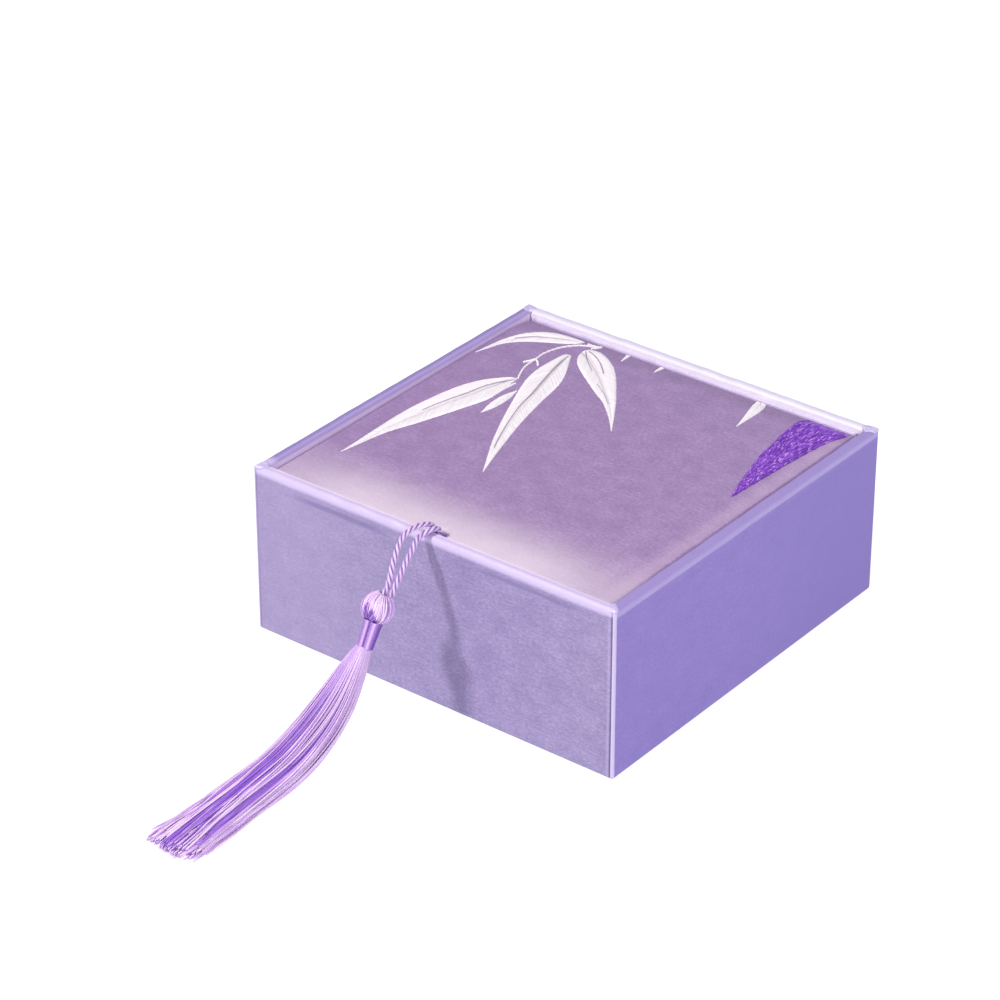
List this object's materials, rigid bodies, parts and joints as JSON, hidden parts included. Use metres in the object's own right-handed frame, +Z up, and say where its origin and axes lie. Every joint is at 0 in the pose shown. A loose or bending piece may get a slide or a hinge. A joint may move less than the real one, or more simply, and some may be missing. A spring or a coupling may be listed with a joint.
{
  "type": "brocade keepsake box",
  "caption": "Square satin-covered board box with an inset padded, leaf-embroidered lid on a cloth hinge, a silk tassel pull at the front and a padded bangle insert inside.",
  "frame": {"origin": "on the surface the box stands on, under the middle of its square base", "axes": "+Z up, -Y to the front where the tassel hangs, +X to the right along the front wall"},
  "size_m": [0.1, 0.1791, 0.0457],
  "materials": {
    "greyboard": "matte",
    "lavender_satin": "satin",
    "mauve_satin": "satin",
    "lining_satin": "satin",
    "padding": "matte",
    "base_paper": "matte",
    "white_thread": "satin",
    "violet_thread": "satin",
    "lilac_cord": "satin",
    "tassel_silk": "satin",
    "bead_wood": "matte"
  },
  "bodies": {
    "box": {"front_wall_board": "greyboard", "back_wall_board": "greyboard", "left_wall_board": "greyboard", "right_wall_board": "greyboard", "base_board": "greyboard", "front_liner_board": "greyboard", "back_liner_board": "greyboard", "left_liner_board": "greyboard", "right_liner_board": "greyboard", "insert_base": "greyboard", "front_wall_cloth": "lavender_satin", "back_wall_cloth": "lavender_satin", "left_wall_cloth": "lavender_satin", "right_wall_cloth": "lavender_satin", "front_liner_cloth": "lining_satin", "back_liner_cloth": "lining_satin", "left_liner_cloth": "lining_satin", "right_liner_cloth": "lining_satin", "insert_cover": "lining_satin", "insert_floor_cloth": "lining_satin", "insert_core_cover": "lining_satin", "insert_foam": "padding", "insert_core": "padding", "bottom_cover": "base_paper", "hinge_strip": "mauve_satin"},
    "lid": {"lid_board": "greyboard", "lid_foam": "padding", "lid_cover": "mauve_satin", "lid_lining": "lining_satin", "cord_anchor": "base_paper", "white_leaf_embroidery": "white_thread", "violet_leaf_embroidery": "violet_thread"},
    "tassel": {"tassel_cord_left": "lilac_cord", "tassel_cord_right": "lilac_cord", "tassel_bead_core": "bead_wood", "tassel_bead_thread": "tassel_silk", "tassel_neck_thread": "tassel_silk", "tassel_skirt": "tassel_silk"}
  },
  "joints": [
    {"name": "lid_hinge", "type": "hinge", "parent": "box", "child": "lid", "pos_m": [0, 0.0471, 0.0405], "axis": [-1, 0, 0], "range_deg": [0, 95], "deforming": ["hinge_strip"]},
    {"name": "tassel_hang", "type": "hinge", "parent": "lid", "child": "tassel", "pos_m": [-0.0004, -0.0464, 0.0376], "axis": [-1, 0, 0], "range_deg": [-132, 0], "deforming": ["tassel_cord_left", "tassel_cord_right"]}
  ],
  "couplings": [
    {"joint": "tassel_hang", "follows": "lid_hinge", "ratio": -1.38}
  ]
}
